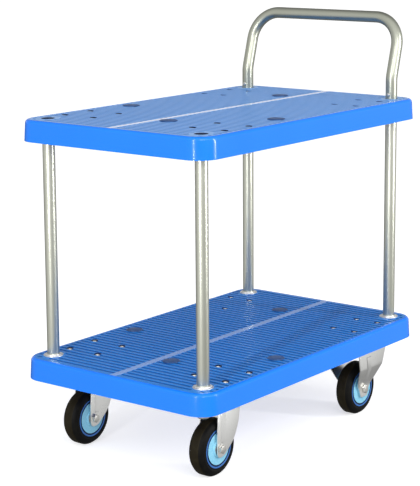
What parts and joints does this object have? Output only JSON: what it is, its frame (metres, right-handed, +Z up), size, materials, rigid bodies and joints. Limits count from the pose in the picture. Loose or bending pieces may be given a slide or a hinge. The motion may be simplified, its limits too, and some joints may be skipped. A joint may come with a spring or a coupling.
{
  "type": "platform trolley",
  "caption": "Two-deck platform cart with ribbed moulded decks on tube posts, a lift-out tube handle, swivel castors at the front and fixed castors at the handle end.",
  "frame": {"origin": "on the floor under the middle of the decks", "axes": "+X towards the handle end, +Y the left-hand side, +Z up"},
  "size_m": [0.78, 0.48, 0.8802],
  "materials": {
    "deck_plastic": "gloss blue moulding",
    "cap_plastic": "dark blue",
    "tube_steel": "polished stainless tube",
    "collar_chrome": "bright plated",
    "hardware_zinc": "zinc plated",
    "fork_zinc": "bright zinc plated pressing",
    "bearing_steel": "ground",
    "hub_plastic": "light blue moulding",
    "tyre_rubber": "black rubber"
  },
  "bodies": {
    "cart": {"lower_deck": "deck_plastic", "upper_deck": "deck_plastic", "lower_deck_caps": "cap_plastic", "upper_deck_caps": "cap_plastic", "post_front_left": "tube_steel", "post_front_right": "tube_steel", "post_rear_left": "tube_steel", "post_rear_right": "tube_steel", "lower_post_collars": "collar_chrome", "upper_post_collars": "collar_chrome", "post_foot_washers": "hardware_zinc", "post_foot_nuts": "hardware_zinc", "post_cross_bolts": "hardware_zinc", "handle_spigot_left": "hardware_zinc", "handle_spigot_right": "hardware_zinc", "snap_clip_left": "hardware_zinc", "snap_clip_right": "hardware_zinc", "front_castor_bolts": "hardware_zinc", "front_castor_nuts": "hardware_zinc", "rear_castor_bolts": "hardware_zinc", "rear_castor_nuts": "hardware_zinc", "swivel_plate_left": "fork_zinc", "kingpin_left": "fork_zinc", "swivel_balls_left": "bearing_steel", "swivel_plate_right": "fork_zinc", "kingpin_right": "fork_zinc", "swivel_balls_right": "bearing_steel", "fixed_fork_left": "fork_zinc", "fixed_fork_right": "fork_zinc", "axle_bolt_rear_left": "hardware_zinc", "axle_nut_rear_left": "hardware_zinc", "axle_sleeve_rear_left": "hardware_zinc", "axle_bolt_rear_right": "hardware_zinc", "axle_nut_rear_right": "hardware_zinc", "axle_sleeve_rear_right": "hardware_zinc"},
    "handle": {"handle": "tube_steel"},
    "swivel_left": {"swivel_fork_left": "fork_zinc", "axle_bolt_front_left": "hardware_zinc", "axle_nut_front_left": "hardware_zinc", "axle_sleeve_front_left": "hardware_zinc"},
    "swivel_right": {"swivel_fork_right": "fork_zinc", "axle_bolt_front_right": "hardware_zinc", "axle_nut_front_right": "hardware_zinc", "axle_sleeve_front_right": "hardware_zinc"},
    "wheel_front_left": {"bearings_front_left": "bearing_steel", "hub_front_left": "hub_plastic", "tyre_front_left": "tyre_rubber"},
    "wheel_front_right": {"bearings_front_right": "bearing_steel", "hub_front_right": "hub_plastic", "tyre_front_right": "tyre_rubber"},
    "wheel_rear_left": {"bearings_rear_left": "bearing_steel", "hub_rear_left": "hub_plastic", "tyre_rear_left": "tyre_rubber"},
    "wheel_rear_right": {"bearings_rear_right": "bearing_steel", "hub_rear_right": "hub_plastic", "tyre_rear_right": "tyre_rubber"}
  },
  "joints": [
    {"name": "handle_lift", "type": "slide", "parent": "cart", "child": "handle", "axis": [0, 0, 1], "range_m": [0, 0.1], "deforming": ["snap_clip_left", "snap_clip_right"]},
    {"name": "swivel_left_turn", "type": "hinge", "parent": "cart", "child": "swivel_left", "pos_m": [-0.242, 0.166, 0.13], "axis": [0, 0, 1], "continuous": true},
    {"name": "swivel_right_turn", "type": "hinge", "parent": "cart", "child": "swivel_right", "pos_m": [-0.242, -0.166, 0.13], "axis": [0, 0, 1], "continuous": true},
    {"name": "wheel_front_left_spin", "type": "hinge", "parent": "swivel_left", "child": "wheel_front_left", "pos_m": [-0.276, 0.166, 0.058], "axis": [0, 1, 0], "continuous": true},
    {"name": "wheel_front_right_spin", "type": "hinge", "parent": "swivel_right", "child": "wheel_front_right", "pos_m": [-0.276, -0.166, 0.058], "axis": [0, 1, 0], "continuous": true},
    {"name": "wheel_rear_left_spin", "type": "hinge", "parent": "cart", "child": "wheel_rear_left", "pos_m": [0.234, 0.176, 0.058], "axis": [0, 1, 0], "continuous": true},
    {"name": "wheel_rear_right_spin", "type": "hinge", "parent": "cart", "child": "wheel_rear_right", "pos_m": [0.234, -0.176, 0.058], "axis": [0, 1, 0], "continuous": true}
  ]
}
